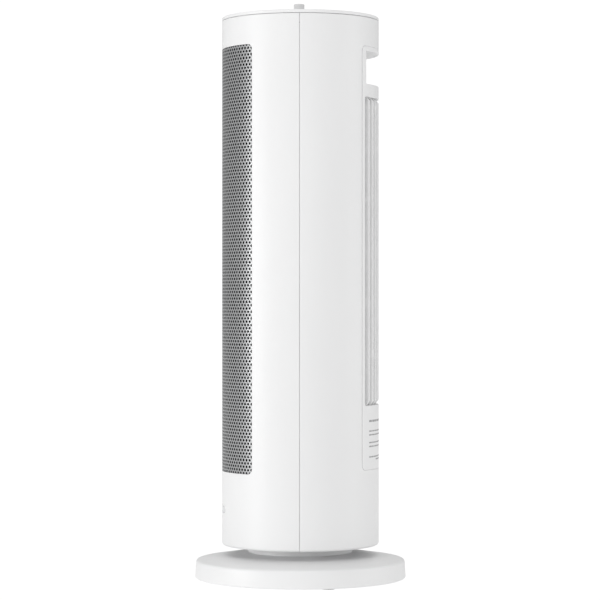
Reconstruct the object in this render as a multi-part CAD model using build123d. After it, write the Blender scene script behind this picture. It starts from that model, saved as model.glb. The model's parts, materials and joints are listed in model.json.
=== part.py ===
from build123d import *
import math
import os

# Ceramic tower space heater. Millimetres, +Z up, origin at the middle of the
# surface it stands on. The air outlet faces -Y, the intake and the finger
# grip face +Y, and the two housing halves meet in the plane y = 0.

# ---------------------------------------------------------------- dimensions
OVERALL_H = 574.2

# base
BASE_R = 105.2            # at the lower edge
BASE_R_TOP = 104.2        # after the draft
BASE_Z0 = 1.6             # lower edge of the shell, above the feet
BASE_RIM_Z = 19.5
BASE_NECK_Z = 27.6        # flat land round the pivot
BASE_WALL = 2.5
NECK_R = 52.0
NECK_IN_R = 34.0
NECK_TOP = 33.6
PLATE_Z0, PLATE_Z1 = 1.9, 4.1
FOOT_R, FOOT_PCR, FOOT_N = 8.0, 88.0, 5
GLAND_Z, GLAND_R, GLAND_BORE_R = 10.6, 5.6, 3.6
GLAND_Y0, GLAND_Y1 = 92.4, 104.4

# pivot and oscillation drive
PIVOT_R, PIVOT_BORE_R = 15.0, 9.0
PIVOT_NECK_R = 12.5
HUB_BORE_R = 15.08        # running clearance 0.08
FLOOR_Z0, FLOOR_Z1, HUB_TOP = 37.4, 40.4, 46.6
GEAR_Z0, GEAR_Z1 = 47.0, 53.0
MODULE, PRESSURE_DEG = 1.5, 25.0
GEAR_TEETH, PINION_TEETH = 32, 12
GEAR_C = MODULE * (GEAR_TEETH + PINION_TEETH) / 2      # 33.0
BACKLASH = 0.30           # taken off each tooth at the pitch circle

# tower housing
BODY_R, WALL = 78.3, 2.5
BODY_IN = BODY_R - WALL
BODY_Z0, BODY_Z1 = 34.7, 556.2
SEAM = 0.35               # half of the gap between the housing halves
COVER_Z0, COVER_RIM_Z, DOME_Z = 556.9, 559.8, 563.4

# front outlet grille
GRILLE_HALF, GRILLE_Z0, GRILLE_Z1, GRILLE_RAD = 53.4, 108.4, 528.1, 5.5
GRILLE_IN, GRILLE_OUT = 77.65, 78.15

# indicator window
PILL_HALF, PILL_Z, PILL_H = 18.7, 70.8, 3.4

# rear panel, louvre and grip
PANEL_HALF, PANEL_Z0, PANEL_Z1, PANEL_RAD = 39.0, 111.4, 527.9, 5.5
PANEL_GAP = 0.6
LOUVRE_HALF, LOUVRE_Z0, LOUVRE_Z1 = 35.0, 174.6, 478.2
BAR_N, BAR_PITCH, BAR_W = 10, 6.5, 2.4
BAR_IN_R, BAR_OUT_R = 70.0, 78.25
GRIP_HALF_X, GRIP_Z0, GRIP_Z1, GRIP_BACK_Y = 43.1, 490.9, 523.1, 44.0
CUP_WALL = 2.0

# air path
FAN_Y, FAN_R, FAN_IN_R = 6.0, 33.0, 26.5
FAN_Z0, FAN_Z1, BLADES = 112.0, 514.0, 24
SHAFT_R, BUSH_CLEAR = 3.0, 0.05
LOW_Z0, LOW_Z1 = 102.0, 105.0
UP_Z0, UP_Z1 = 532.5, 535.0
HEAT_X, HEAT_Y0, HEAT_Y1, HEAT_Z0, HEAT_Z1 = 42.8, -52.0, -36.0, 112.0, 526.0

# knob
KNOB_R, KNOB_Z0, SPINDLE_R = 5.35, 563.8, 3.0
KNOB_Y = -1.3             # a little forward of the axis

FRONT, REAR = -90.0, 90.0
os.makedirs("parts", exist_ok=True)


# ------------------------------------------------------------------- helpers
def save(shape, name):
    export_step(shape, f"parts/{name}.step")


def ring(r1, z0, z1, r0=0.0, x=0.0, y=0.0):
    face = Circle(r1)
    if r0 > 0:
        face = face - Circle(r0)
    return Pos(x, y, z0) * extrude(face, z1 - z0)


def box(x0, x1, y0, y1, z0, z1):
    return Pos((x0 + x1) / 2, (y0 + y1) / 2, (z0 + z1) / 2) * Box(
        x1 - x0, y1 - y0, z1 - z0
    )


def block(mid, half, z0, z1, r0, r1, rad=0.0):
    """A sector of a tube, with its four radial edges rounded."""
    a0, da = mid - half, 2 * half
    inner = CenterArc((0, 0), r0, a0, da)
    outer = CenterArc((0, 0), r1, a0, da)
    face = make_face(
        [inner, Line(inner @ 1, outer @ 1), outer, Line(outer @ 0, inner @ 0)]
    )
    solid = Pos(0, 0, z0) * extrude(face, z1 - z0)
    if rad > 0:
        edges = [
            e
            for e in solid.edges().filter_by(GeomType.LINE)
            if abs((e @ 1).Z - (e @ 0).Z) < 1e-6
        ]
        solid = fillet(edges, rad)
    return solid


def prism(points, z0, z1):
    return Pos(0, 0, z0) * extrude(
        make_face(Polyline(*points, close=True)), z1 - z0
    )


def polar(r, deg):
    return (r * math.cos(math.radians(deg)), r * math.sin(math.radians(deg)))


def around(n, r, start=0.0):
    return [polar(r, start + 360.0 * i / n) for i in range(n)]


def screw(x, y, z_head, up, shank, head_r=3.0, head_h=1.6, shank_r=1.5):
    """A pan-head screw whose head's seat is at z_head; up is +1 or -1 for
    the way that its shank points."""
    head = ring(head_r, 0, head_h)
    head = fillet(head.edges().sort_by(Axis.Z)[-1], head_h * 0.45)
    for w, d in ((0.8, 3.2), (3.2, 0.8)):
        head -= Pos(0, 0, head_h - 0.35) * Box(w, d, 0.9)
    s = head + ring(shank_r, -shank, 0.01)
    s += Pos(0, 0, -shank - 0.8) * Cone(0.5, shank_r, 0.8, align=(Align.CENTER, Align.CENTER, Align.MIN))
    if up > 0:
        s = Rot(180, 0, 0) * s
    return Pos(x, y, z_head) * s


def gear(teeth, z0, z1, bore):
    """Involute spur gear with a tooth on +X."""
    rp = MODULE * teeth / 2
    rb = rp * math.cos(math.radians(PRESSURE_DEG))
    ra = rp + 0.9 * MODULE
    rf = rp - 1.2 * MODULE
    inv = lambda a: math.tan(a) - a
    half_p = (math.pi * MODULE / 2 - BACKLASH) / (2 * rp)
    pts = []
    flank = []
    for i in range(7):
        r = max(rb, rf) + (ra - max(rb, rf)) * i / 6
        a = math.acos(min(1.0, rb / r))
        half = half_p + inv(math.radians(PRESSURE_DEG)) - inv(a)
        flank.append((r, half))
    for k in range(teeth):
        c = 2 * math.pi * k / teeth
        low = flank[0][1]
        pts.append((rf * math.cos(c - low), rf * math.sin(c - low)))
        if flank[0][0] > rf + 1e-6:
            pts.append(
                (flank[0][0] * math.cos(c - low), flank[0][0] * math.sin(c - low))
            )
        for r, h in flank[1:]:
            pts.append((r * math.cos(c - h), r * math.sin(c - h)))
        for r, h in reversed(flank[1:]):
            pts.append((r * math.cos(c + h), r * math.sin(c + h)))
        if flank[0][0] > rf + 1e-6:
            pts.append(
                (flank[0][0] * math.cos(c + low), flank[0][0] * math.sin(c + low))
            )
        pts.append((rf * math.cos(c + low), rf * math.sin(c + low)))
    solid = prism(pts, z0, z1)
    if bore > 0:
        solid -= ring(bore, z0 - 1, z1 + 1)
    return solid


# ---------------------------------------------------------------------- base
# Shell: a round plate with a drafted side and a shallow cone up to the pivot.
cone = (BASE_NECK_Z - BASE_RIM_Z) / (BASE_R_TOP - NECK_R)
outline = [
    (16.0, BASE_NECK_Z - BASE_WALL),
    (NECK_R, BASE_NECK_Z - BASE_WALL),
    (BASE_R_TOP - BASE_WALL, BASE_RIM_Z - BASE_WALL + 0.35),
    (BASE_R - BASE_WALL, BASE_Z0),
    (BASE_R, BASE_Z0),
    (BASE_R_TOP, BASE_RIM_Z),
    (NECK_R, BASE_NECK_Z),
    (16.0, BASE_NECK_Z),
]
base_shell = revolve(Plane.XZ * make_face(Polyline(*outline, close=True)), Axis.Z)
rim = [
    e
    for e in base_shell.edges().filter_by(GeomType.CIRCLE)
    if abs(e.radius - BASE_R_TOP) < 0.01 and abs((e @ 0).Z - BASE_RIM_Z) < 0.01
]
base_shell = fillet(rim, 2.6)
low = [
    e
    for e in base_shell.edges().filter_by(GeomType.CIRCLE)
    if abs(e.radius - BASE_R) < 0.01 and abs((e @ 0).Z - BASE_Z0) < 0.01
]
base_shell = fillet(low, 1.6)
plate_screw_xy = around(5, 66.0, 54.0)
under = BASE_NECK_Z - BASE_WALL
for x, y in plate_screw_xy:
    base_shell += ring(4.2, PLATE_Z1, 23.4, 1.6, x, y)
hub_screw_xy = around(4, 38.0, 45.0)
for x, y in hub_screw_xy:
    base_shell -= ring(1.6, 20, 30, 0, x, y)
base_shell -= Pos(0, 100, GLAND_Z) * Rot(90, 0, 0) * Cylinder(GLAND_R + 0.05, 20)
save(base_shell, "base_shell")

base_plate = ring(BASE_R - BASE_WALL - 0.35, PLATE_Z0, PLATE_Z1)
for x, y in plate_screw_xy:
    base_plate -= ring(1.6, 0, 6, 0, x, y)
base_plate += ring(21.2, PLATE_Z1 - 0.01, PLATE_Z1 + 3.0, 20.0)
save(base_plate, "base_bottom_plate")

foot = ring(FOOT_R, 0, PLATE_Z0)
foot = fillet(foot.edges().sort_by(Axis.Z)[0], 0.7)
save(Compound(children=[Pos(x, y, 0) * foot for x, y in around(FOOT_N, FOOT_PCR, 90.0)]), "rubber_feet")

save(
    Compound(
        children=[
            screw(x, y, PLATE_Z0, +1, 14.0, head_r=3.2, head_h=1.3)
            for x, y in plate_screw_xy
        ]
    ),
    "base_plate_screws",
)

ballast = ring(86.0, PLATE_Z1, PLATE_Z1 + 3.0, 54.0)
for x, y in plate_screw_xy:
    ballast -= ring(5.0, 0, 20, 0, x, y)
save(ballast, "ballast_ring")

tip = box(-46, -22, 10, 26, 7.2, 8.4) + box(-42, -26, 12, 24, 8.3, 20.5)
tip = tip - ring(1.6, 0, 12, 0, -44, 18) - ring(1.6, 0, 12, 0, -24, 18)
for x in (-44.0, -24.0):
    tip += ring(3.0, PLATE_Z1, 7.3, 1.6, x, 18)
save(tip, "tip_over_switch")

gland = Pos(0, (GLAND_Y0 + GLAND_Y1) / 2, GLAND_Z) * Rot(90, 0, 0) * Cylinder(
    GLAND_R, GLAND_Y1 - GLAND_Y0
)
gland += Pos(0, 100.2, GLAND_Z) * Rot(90, 0, 0) * Cylinder(GLAND_R + 0.8, 2.0)
gland -= Pos(0, 98, GLAND_Z) * Rot(90, 0, 0) * Cylinder(GLAND_BORE_R, 30)
save(gland, "cord_gland")

neck = ring(NECK_R, BASE_NECK_Z, NECK_TOP, NECK_IN_R)
neck = fillet(
    [
        e
        for e in neck.edges().filter_by(GeomType.CIRCLE)
        if abs(e.radius - NECK_R) < 0.01 and abs((e @ 0).Z - NECK_TOP) < 0.01
    ],
    0.8,
)
for x, y in hub_screw_xy:
    neck -= ring(1.6, 20, 32.5, 0, x, y)
save(neck, "neck_ring")

hub = ring(44.0, under - 3.0, under) + ring(PIVOT_R, under - 3.0, GEAR_Z0)
hub += ring(PIVOT_NECK_R, GEAR_Z0 - 0.01, GEAR_Z1 + 3.0)
hub -= ring(PIVOT_BORE_R, 10, 70)
for x, y in hub_screw_xy:
    hub -= ring(1.6, 10, 40, 0, x, y)
save(hub, "pivot_hub")

save(
    Compound(
        children=[
            screw(x, y, under - 3.0, +1, 9.0, head_r=3.0, head_h=1.5)
            for x, y in hub_screw_xy
        ]
    ),
    "pivot_hub_screws",
)

thrust = ring(44.0, NECK_TOP, FLOOR_Z0 - 0.1, 36.0)
save(thrust, "thrust_ring")

save(gear(GEAR_TEETH, GEAR_Z0, GEAR_Z1, PIVOT_NECK_R + 0.05), "fixed_gear")

nut = Pos(0, 0, GEAR_Z1) * extrude(RegularPolygon(18.0, 6), 3.0)
nut -= ring(PIVOT_NECK_R + 0.05, 50, 60)
save(nut, "pivot_nut")

# --------------------------------------------------------------- lower tower
floor_screw_r = 68.5
boss_deg_front = (-140.0, -90.0, -40.0)
boss_deg_rear = (40.0, 90.0, 140.0)
floor = ring(75.5, FLOOR_Z0, FLOOR_Z1) + ring(22.0, FLOOR_Z0, HUB_TOP)
for i in range(8):
    floor += Rot(0, 0, 22.5 + 45 * i) * box(20, 62, -1.0, 1.0, FLOOR_Z1 - 0.01, FLOOR_Z1 + 3.0)
floor -= ring(HUB_BORE_R, 30, 60)
for d in boss_deg_front + boss_deg_rear:
    x, y = polar(floor_screw_r, d)
    floor -= ring(1.7, 30, 50, 0, x, y)
for x, y in ((28, 25), (28, -25), (54, 25), (54, -25)):
    floor -= ring(4.2, FLOOR_Z1 - 0.6, 50, 0, x, y)
save(floor, "tower_floor")

save(
    Compound(
        children=[
            screw(*polar(floor_screw_r, d), FLOOR_Z0, +1, 10.0, head_r=3.0, head_h=1.6)
            for d in boss_deg_front + boss_deg_rear
        ]
    ),
    "floor_screws",
)


def half_shell(sign, boss_deg):
    """One half of the housing: wall, inward lip at the bottom, screw bosses.
    sign is -1 for the front half and +1 for the rear half."""
    prof = [
        (BODY_R, BODY_Z0),
        (BODY_R, BODY_Z1),
        (BODY_IN, BODY_Z1),
        (BODY_IN, BODY_Z0 + 2.5),
        (73.8, BODY_Z0 + 2.5),
        (73.8, BODY_Z0),
    ]
    s = revolve(Plane.XZ * make_face(Polyline(*prof, close=True)), Axis.Z)
    edge = [
        e
        for e in s.edges().filter_by(GeomType.CIRCLE)
        if abs(e.radius - BODY_R) < 0.01 and abs((e @ 0).Z - BODY_Z0) < 0.01
    ]
    s = fillet(edge, 2.4)
    top = [
        e
        for e in s.edges().filter_by(GeomType.CIRCLE)
        if abs(e.radius - BODY_R) < 0.01 and abs((e @ 0).Z - BODY_Z1) < 0.01
    ]
    s = fillet(top, 0.4)
    y0, y1 = (SEAM, 90) if sign > 0 else (-90, -SEAM)
    s = s & box(-90, 90, y0, y1, 0, 600)
    for d in boss_deg:
        x, y = polar(floor_screw_r, d)
        s += ring(4.2, FLOOR_Z1, 54.0, 0, x, y)
        s += Rot(0, 0, d) * box(floor_screw_r, 76.2, -1.0, 1.0, FLOOR_Z1, 54.0)
        s -= ring(1.6, 30, 52.0, 0, x, y)
    return s


front = half_shell(-1, boss_deg_front)
for side in (0.0, 180.0):
    lap = block(side, 4.6, 41.0, 547.0, 73.9, BODY_IN + 0.1)
    lap = lap & box(-90, 90, -7, 4.5, 0, 600)
    lap_rear = box(-90, 90, -SEAM, 7, 0, 600) & ring(90, 0, 600, BODY_IN - 0.2)
    front += lap - lap_rear
front -= block(FRONT, GRILLE_HALF, GRILLE_Z0, GRILLE_Z1, 65, 90, GRILLE_RAD)
front -= block(FRONT, PILL_HALF, PILL_Z - PILL_H, PILL_Z + PILL_H, 65, 90, PILL_H - 0.05)
save(front, "front_housing")

rear = half_shell(+1, boss_deg_rear)
rear -= block(REAR, PANEL_HALF, PANEL_Z0, PANEL_Z1, 65, 90, PANEL_RAD)
save(rear, "rear_housing")

# Top cover: a low dome with a rim that continues the housing's wall.
rim_arc = 0.9
e1 = ThreePointArc((0, DOME_Z), (40.0, DOME_Z - 0.98), (BODY_R - rim_arc, COVER_RIM_Z))
e2 = ThreePointArc(
    (BODY_R - rim_arc, COVER_RIM_Z),
    (BODY_R - rim_arc * 0.293, COVER_RIM_Z - rim_arc * 0.293),
    (BODY_R, COVER_RIM_Z - rim_arc),
)
e3 = Polyline(
    (BODY_R, COVER_RIM_Z - rim_arc),
    (BODY_R, COVER_Z0),
    (75.6, COVER_Z0),
    (75.6, 548.0),
    (73.4, 548.0),
    (73.4, 557.5),
)
e4 = ThreePointArc((73.4, 557.5), (38.0, 560.05), (0, DOME_Z - 2.5))
e5 = Line((0, DOME_Z - 2.5), (0, DOME_Z))
cover = revolve(Plane.XZ * make_face([e1, e2, e3, e4, e5]), Axis.Z)
cover -= ring(4.3, 540, 580, 0, 0, KNOB_Y)
save(cover, "top_cover")

# Outlet grille, as a plain curved sheet of the perforated steel's thickness.
grille = block(
    FRONT, GRILLE_HALF - 0.08, GRILLE_Z0 + 0.1, GRILLE_Z1 - 0.1, GRILLE_IN, GRILLE_OUT, GRILLE_RAD - 0.1
)
save(grille, "front_grille")

# Outlet duct: the dark frame behind the grille, with a wall to the heater.
duct = block(FRONT, GRILLE_HALF + 2.2, GRILLE_Z0 - 3, GRILLE_Z1 + 3, 73.2, 75.7, 8.0)
duct += block(
    FRONT, GRILLE_HALF - 0.12, GRILLE_Z0 + 0.15, GRILLE_Z1 - 0.15, 75.6, GRILLE_IN - 0.05, GRILLE_RAD - 0.1
)
for s in (-1, 1):
    duct += prism(
        [(s * 43.2, -42.8), (s * 43.2, -44.6), (s * 57.4, -46.4), (s * 59.2, -44.4)],
        GRILLE_Z0 - 2,
        GRILLE_Z1 + 2,
    )
duct -= block(FRONT, GRILLE_HALF - 1.6, GRILLE_Z0 + 2.2, GRILLE_Z1 - 2.2, 73.0, 90, 4.0)
vanes = []
for x in (-50.5, -36.0, -21.5, -7.0, 7.0, 21.5, 36.0, 50.5):
    y_back = HEAT_Y0 - 0.6 if abs(x) < HEAT_X else -44.8
    vanes.append(box(x - 0.7, x + 0.7, -80, y_back, GRILLE_Z0 + 0.4, GRILLE_Z1 - 0.4) & ring(GRILLE_IN - 0.35, 0, 600))
duct = duct + vanes
save(duct, "outlet_duct")

lens = block(FRONT, PILL_HALF - 0.12, PILL_Z - PILL_H + 0.15, PILL_Z + PILL_H - 0.15, 75.5, 78.15, PILL_H - 0.25)
lens += block(FRONT, PILL_HALF + 2, PILL_Z - PILL_H - 2, PILL_Z + PILL_H + 2, 74.2, 75.7, 3.0)
save(lens, "indicator_window")

ind = box(-28, 28, -66.0, -64.4, 60, 82)
for x in (-18, -6, 6, 18):
    ind += box(x - 2.5, x + 2.5, -67.6, -65.9, PILL_Z - 1.8, PILL_Z + 1.8)
ind += box(-24, 24, -64.5, -58, 61, 66)
save(ind, "indicator_board")

# ------------------------------------------------------------ rear panel set
ph, gap_deg = PANEL_HALF, math.degrees(PANEL_GAP / BODY_R)
panel = block(
    REAR, ph - gap_deg, PANEL_Z0 + PANEL_GAP, PANEL_Z1 - PANEL_GAP, BODY_IN - 0.4, BODY_R - 0.05, PANEL_RAD - 0.5
)
flange = block(REAR, ph + 3.2, PANEL_Z0 - 3.5, PANEL_Z1 + 3.5, 73.6, BODY_IN - 0.2, 7.0)
flange -= block(REAR, ph - 0.3, PANEL_Z0 + 4.5, PANEL_Z1 - 2.0, 70, 80, 4.0)
panel += flange
panel -= block(REAR, LOUVRE_HALF, LOUVRE_Z0, LOUVRE_Z1, 65, 90, 2.0)
panel -= box(-GRIP_HALF_X, GRIP_HALF_X, 20, 90, GRIP_Z0, GRIP_Z1)
save(panel, "rear_panel")

louvre = block(REAR, LOUVRE_HALF + 2.6, LOUVRE_Z0 - 3.0, LOUVRE_Z1 + 3.0, 71.0, BODY_IN - 0.5)
louvre -= block(REAR, LOUVRE_HALF, LOUVRE_Z0, LOUVRE_Z1, 60, 90)
bars = []
for i in range(BAR_N):
    a = (i - (BAR_N - 1) / 2) * BAR_PITCH
    side = [
        (BAR_IN_R, LOUVRE_Z0 - 1.0),
        (BODY_IN - 1.2, LOUVRE_Z0 - 1.0),
        (BODY_IN - 0.6, LOUVRE_Z0 + 0.2),
        (BAR_OUT_R, LOUVRE_Z0 + 4.6),
        (BAR_OUT_R, LOUVRE_Z1 - 3.6),
        (BODY_IN - 0.6, LOUVRE_Z1 - 0.2),
        (BODY_IN - 1.2, LOUVRE_Z1 + 1.0),
        (BAR_IN_R, LOUVRE_Z1 + 1.0),
    ]
    bar = extrude(Plane.XZ * make_face(Polyline(*side, close=True)), BAR_W / 2, both=True)
    bars.append(Rot(0, 0, REAR + a) * bar)
louvre = louvre + bars
ribs = []
n_rib = 6
for k in range(1, n_rib):
    z = LOUVRE_Z0 + (LOUVRE_Z1 - LOUVRE_Z0) * k / n_rib
    ribs.append(block(REAR, LOUVRE_HALF + 0.8, z - 1.0, z + 1.0, BAR_IN_R + 0.6, BAR_IN_R + 3.6))
louvre = louvre + ribs
save(louvre, "intake_louvre")

cup = box(-GRIP_HALF_X - CUP_WALL, GRIP_HALF_X + CUP_WALL, GRIP_BACK_Y - CUP_WALL, 80, GRIP_Z0 - CUP_WALL, GRIP_Z1 + CUP_WALL)
cup -= box(-GRIP_HALF_X, GRIP_HALF_X, GRIP_BACK_Y, 90, GRIP_Z0, GRIP_Z1)
cup = cup & ring(BODY_IN - 0.45, 450, 560)
save(cup, "grip_cup")

# --------------------------------------------------------------- bulkheads
notch = [block(s, 8.0, 60, 560, 73.4, 80) for s in (0.0, 180.0)]
low_bulk = ring(75.6, LOW_Z0, LOW_Z1) - ring(11.0, 90, 110, 0, 0, FAN_Y)
for n in notch:
    low_bulk -= n
damper_xy = [(polar(31.0, d)[0], polar(31.0, d)[1] + FAN_Y) for d in (30.0, 150.0, 270.0)]
for x, y in damper_xy:
    low_bulk -= ring(1.6, 90, 110, 0, x, y)
low_bulk -= box(-16, 16, 54, 62, 90, 120)
save(low_bulk, "lower_bulkhead")

up_bulk = ring(75.6, UP_Z0, UP_Z1)
for n in notch:
    up_bulk -= n
up_bulk += ring(9.0, 518.0, UP_Z0 + 0.01, 0, 0, FAN_Y)
up_bulk -= ring(5.5, 500, 529.0, 0, 0, FAN_Y)
post_xy = ((34, 28), (-34, 28), (34, -28), (-34, -28))
for x, y in post_xy:
    up_bulk += ring(3.0, UP_Z1 - 0.01, 543.0, 0, x, y)
up_bulk -= box(-14, 14, -66, -58, 520, 540)
save(up_bulk, "upper_bulkhead")

# ----------------------------------------------------- cross-flow fan rotor
def blade_face():
    mid, half_t = [], 0.45
    for i in range(5):
        t = i / 4
        r = FAN_IN_R + (FAN_R - 0.4 - FAN_IN_R) * t
        mid.append((r, 11.0 * t * t - 3.0 * t))
    up = [(r * math.cos(math.radians(a) + half_t / r), r * math.sin(math.radians(a) + half_t / r)) for r, a in mid]
    dn = [(r * math.cos(math.radians(a) - half_t / r), r * math.sin(math.radians(a) - half_t / r)) for r, a in mid]
    return up + dn[::-1]


blade = prism(blade_face(), FAN_Z0 + 1.5, FAN_Z1 - 1.5)
rotor = [Rot(0, 0, 360.0 * i / BLADES) * blade for i in range(BLADES)]
disc_low = ring(FAN_R, FAN_Z0, FAN_Z0 + 2.5) + ring(8.0, FAN_Z0 - 5, FAN_Z0 + 8)
disc_low -= ring(SHAFT_R, 90, FAN_Z0 + 6)
disc_up = ring(FAN_R, FAN_Z1 - 2.5, FAN_Z1) + ring(7.0, FAN_Z1 - 8, FAN_Z1 + 2.0)
disc_up -= ring(SHAFT_R, FAN_Z1 - 6, 600)
rings = [
    ring(FAN_R, z - 0.9, z + 0.9, FAN_IN_R - 3.0)
    for z in (FAN_Z0 + (FAN_Z1 - FAN_Z0) * k / 4 for k in (1, 2, 3))
]
impeller = disc_low + (rotor + rings + [disc_up])
save(Pos(0, FAN_Y, 0) * impeller, "crossflow_impeller")
save(ring(SHAFT_R, 82.0, FAN_Z0 + 6, 0, 0, FAN_Y), "fan_drive_shaft")
save(ring(SHAFT_R, FAN_Z1 - 6, 528.0, 0, 0, FAN_Y), "fan_stub_shaft")

bush = ring(5.5, 518.0, 529.0, SHAFT_R + BUSH_CLEAR, 0, FAN_Y)
save(bush, "upper_fan_bearing")

motor = ring(28.0, 77.0, 97.6, 0, 0, FAN_Y)
motor = fillet(motor.edges().filter_by(GeomType.CIRCLE), 1.6)
motor += ring(12.0, 97.5, 100.0, 0, 0, FAN_Y)
plate = ring(35.0, 96.2, 97.6, 0, 0, FAN_Y)
plate = plate & (
    Pos(0, FAN_Y, 90)
    * extrude(Rot(0, 0, 90) * RegularPolygon(41.0, 3) + Circle(28.0), 20)
)
motor += plate
motor -= ring(SHAFT_R + BUSH_CLEAR, 80.0, 120, 0, 0, FAN_Y)
for x, y in damper_xy:
    motor -= ring(1.6, 90, 110, 0, x, y)
save(motor, "fan_motor")
damper = ring(3.6, 97.6, LOW_Z0, 1.6)
save(Compound(children=[Pos(x, y, 0) * damper for x, y in damper_xy]), "motor_rubber_mounts")
save(
    Compound(
        children=[
            screw(x, y, 96.2, +1, 9.5, head_r=3.0, head_h=1.6, shank_r=1.5) for x, y in damper_xy
        ]
    ),
    "motor_screws",
)

# --------------------------------------------------------- guide walls
def wall_face(points, t):
    """A strip of thickness t along points, offset to the outside."""
    out = []
    for i, (x, y) in enumerate(points):
        x0, y0 = points[max(0, i - 1)]
        x1, y1 = points[min(len(points) - 1, i + 1)]
        dx, dy = x1 - x0, y1 - y0
        n = math.hypot(dx, dy)
        out.append((x + dy / n * t, y - dx / n * t))
    return list(points) + out[::-1]


def spiral(keys, steps=14):
    pts = []
    for i in range(steps + 1):
        u = i / steps * (len(keys) - 1)
        k = min(int(u), len(keys) - 2)
        f = u - k
        p = [keys[max(0, k - 1)], keys[k], keys[k + 1], keys[min(len(keys) - 1, k + 2)]]
        val = []
        for j in (0, 1):
            a, b, c, d = (q[j] for q in p)
            val.append(
                0.5 * (2 * b + (c - a) * f + (2 * a - 5 * b + 4 * c - d) * f * f + (3 * b - a - 3 * c + d) * f ** 3)
            )
        x, y = polar(val[1], val[0])
        pts.append((x, y + FAN_Y))
    return pts


scroll_pts = spiral([(52, 36.5), (25, 39), (0, 43), (-25, 49), (-41.5, 56.5)])
save(prism(wall_face(scroll_pts[::-1], 1.3), 106.0, 531.0), "scroll_wall")
tongue_pts = spiral([(140, 51), (168, 40), (188, 36.3), (203, 37.5), (222.0, 56.8)])
save(prism(wall_face(tongue_pts[::-1], 1.3), 106.0, 531.0), "tongue_wall")

# ------------------------------------------------------------ heating block
frame = box(-HEAT_X, HEAT_X, HEAT_Y0, HEAT_Y1, HEAT_Z0, HEAT_Z1)
frame -= box(-37.4, 37.4, HEAT_Y0 - 1, HEAT_Y1 + 1, HEAT_Z0 + 8, HEAT_Z1 - 8)
save(frame, "heater_frame")

fin_w, bar_t = 10.2, 3.0
step = 2 * fin_w + bar_t + 1.2
fins, ptcs = [], []
z0h, z1h = HEAT_Z0 + 9.0, HEAT_Z1 - 9.0
n_fold = 50
for k in (-1, 0, 1):
    cx = k * step
    ptcs.append(box(cx - bar_t / 2, cx + bar_t / 2, -50.5, -37.5, z0h - 0.5, z1h + 0.5))
    for s in (-1, 1):
        xa = cx + s * (bar_t / 2 + 0.05)
        xb = cx + s * (bar_t / 2 + fin_w)
        lo, hi = min(xa, xb), max(xa, xb)
        line = []
        for j in range(2 * n_fold + 1):
            line.append((lo if j % 2 == 0 else hi - 1.2, z0h + (z1h - z0h) * j / (2 * n_fold)))
        loop = line + [(x + 1.2, z) for x, z in line[::-1]]
        face = make_face(Polyline(*loop, close=True))
        fins.append(Pos(0, -44.0, 0) * extrude(Plane.XZ * face, 6.0, both=True))
save(Compound(children=ptcs), "ptc_ceramic_bars")
save(Compound(children=fins), "heater_fins")

cut = box(-9, 9, -35.9, -34.7, 519.0, 531.0) + Pos(0, -31.0, 524.5) * Rot(90, 0, 0) * Cylinder(6.5, 7.4)
save(cut, "thermal_cutout")
fuse = Pos(26, -33.4, 522.0) * Rot(0, 90, 0) * Cylinder(2.0, 12.0)
fuse += Pos(26, -33.4, 522.0) * Rot(0, 90, 0) * Cylinder(0.5, 30.0)
save(fuse, "thermal_fuse")

# --------------------------------------------------------- electrics below
pcb = box(-32, 32, 54.0, 55.6, 44.0, 97.0)
pcb += box(-28, -9, 40.0, 54.1, 52, 68) + box(-4, 15, 40.0, 54.1, 52, 68)
pcb += box(-27, -15, 45.0, 54.1, 74, 84)
pcb += Pos(24, 48.0, 62.0) * Rot(90, 0, 0) * Cylinder(5.5, 12.4)
pcb += box(-6, 26, 46.0, 54.1, 84, 94)
save(pcb, "power_board")

bracket = box(20.5, 60, -30, 30, 55.6, 57.6)
bracket = fillet(bracket.edges().filter_by(Axis.Z), 5.0)
for x, y in ((28, 25), (28, -25), (54, 25), (54, -25)):
    bracket += ring(4.0, FLOOR_Z1 - 0.6, 55.7, 0, x, y)
bracket -= ring(4.5, 40, 60, 0, GEAR_C, 0)
for y in (-18.0, 18.0):
    bracket -= ring(1.6, 50, 60, 0, GEAR_C, y)
save(bracket, "oscillation_bracket")

osc = ring(14.0, 57.6, 74.5, 0, GEAR_C, 0)
osc = fillet(osc.edges().sort_by(Axis.Z)[-1], 1.2)
osc += Pos(GEAR_C, 0, 58.1) * extrude(SlotCenterToCenter(36.0, 8.0, rotation=90), 0.8, both=True) & ring(40, 57.6, 59.0, 0, GEAR_C, 0)
osc -= ring(2.5 + BUSH_CLEAR, 50, 70, 0, GEAR_C, 0)
for y in (-18.0, 18.0):
    osc -= ring(1.6, 50, 62, 0, GEAR_C, y)
save(osc, "oscillation_motor")
save(
    Compound(
        children=[screw(GEAR_C, y, 59.0, -1, 6.0, head_r=2.8, head_h=1.4) for y in (-18.0, 18.0)]
    ),
    "oscillation_motor_screws",
)

pin = gear(PINION_TEETH, GEAR_Z0, GEAR_Z1, 0)
pin = Rot(0, 0, 180.0 / PINION_TEETH) * pin
pin += ring(2.5, GEAR_Z0, 68.0)
save(Pos(GEAR_C, 0, 0) * pin, "oscillation_pinion")

# ----------------------------------------------------------- controls on top
board = box(-40, 40, -34, 34, 543.0, 544.6)
board = fillet(board.edges().filter_by(Axis.Z), 4.0)
board += box(-36, -22, -14, 4, 544.5, 552.0) + box(20, 34, -20, -10, 544.5, 549.0)
board -= ring(3.6, 540, 550, 0, 0, KNOB_Y)
save(board, "control_board")

sw = box(-11, 11, -11, 11, 544.6, 555.4)
sw = fillet(sw.edges().filter_by(Axis.Z), 1.5)
sw += ring(4.0, 555.3, 562.6)
sw -= ring(SPINDLE_R + 0.06, 545.6, 570)
save(Pos(0, KNOB_Y, 0) * sw, "rotary_switch")

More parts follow.
